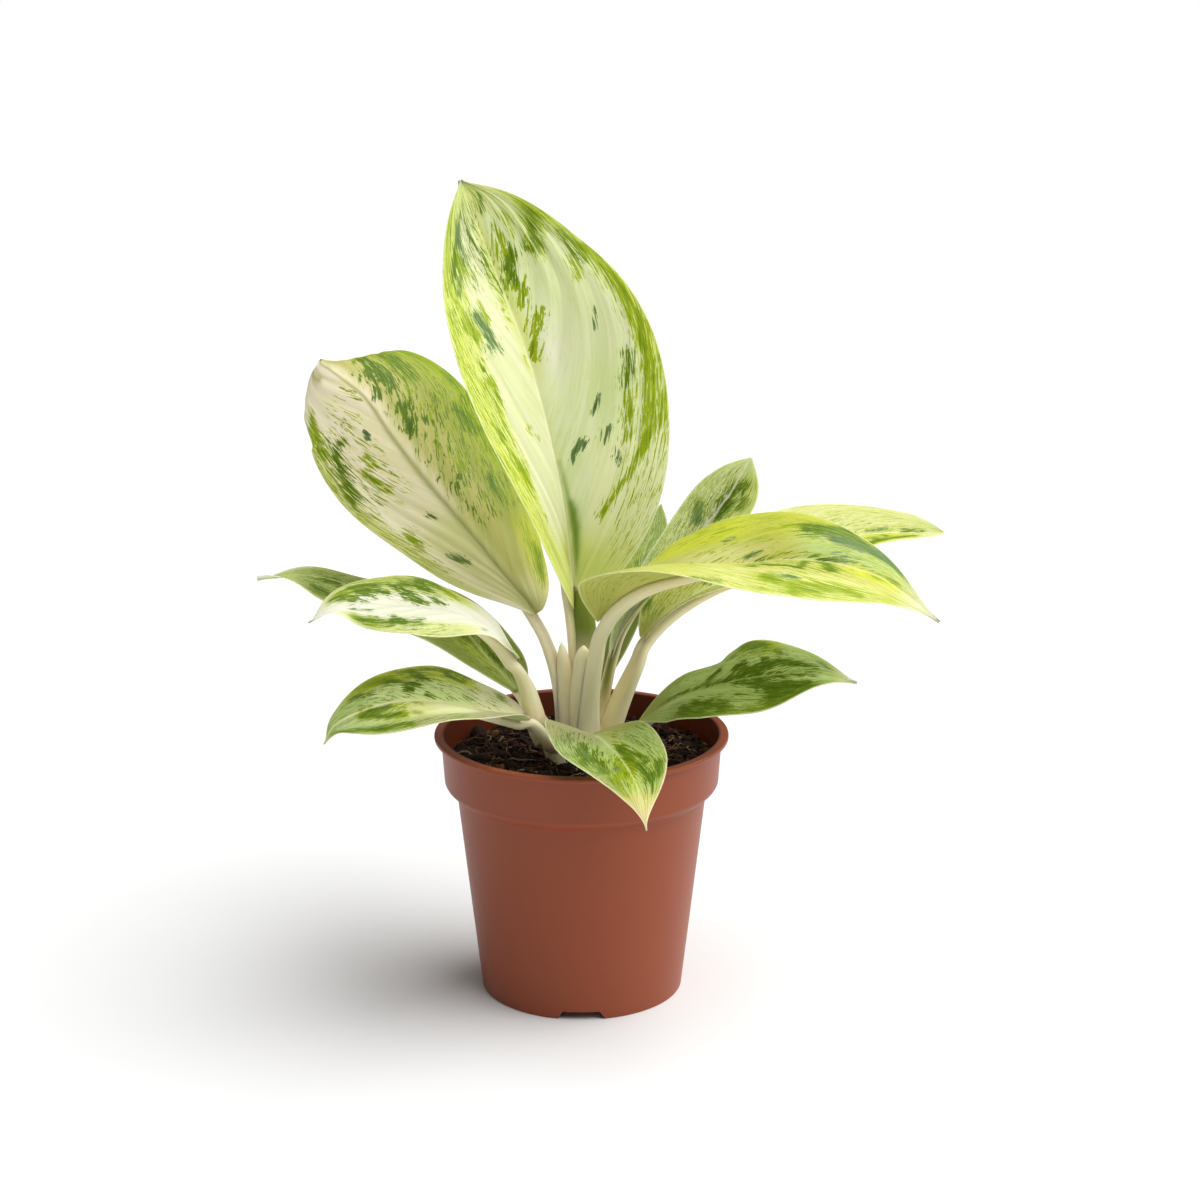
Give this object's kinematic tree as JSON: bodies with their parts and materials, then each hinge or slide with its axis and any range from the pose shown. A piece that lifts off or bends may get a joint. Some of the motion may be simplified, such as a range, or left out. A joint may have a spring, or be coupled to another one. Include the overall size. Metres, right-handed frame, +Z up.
{
  "type": "potted aglaonema",
  "caption": "Houseplant with broad cream, mint and lime variegated leaves on pale stalks, growing from dark soil in a round terracotta-coloured plastic nursery pot.",
  "frame": {"origin": "on the standing surface, under the middle of the whole plant's box; the pot's axis stands at x -8 mm, y 8 mm", "axes": "+Z up along the pot's axis, -Y towards the viewer, +X to the viewer's right"},
  "size_m": [0.2882, 0.1701, 0.3288],
  "materials": {
    "pot": "satin",
    "soil": "matte",
    "stem": "satin",
    "leaf_lime": "satin",
    "leaf_mint": "satin",
    "leaf_cream": "satin",
    "leaf_shade": "satin"
  },
  "bodies": {
    "root": {"pot": "pot", "soil": "soil", "stem_main": "stem", "stem_left": "stem", "leaf_tall_centre": "leaf_lime", "leaf_broad_left": "leaf_cream", "leaf_white_left": "leaf_cream", "leaf_low_left": "leaf_mint", "leaf_shaded_left": "leaf_shade", "leaf_lime_right": "leaf_lime", "leaf_far_right": "leaf_cream", "leaf_upright_right": "leaf_mint", "leaf_low_right": "leaf_mint", "leaf_slim_back": "leaf_shade", "leaf_front": "leaf_mint"}
  },
  "joints": []
}
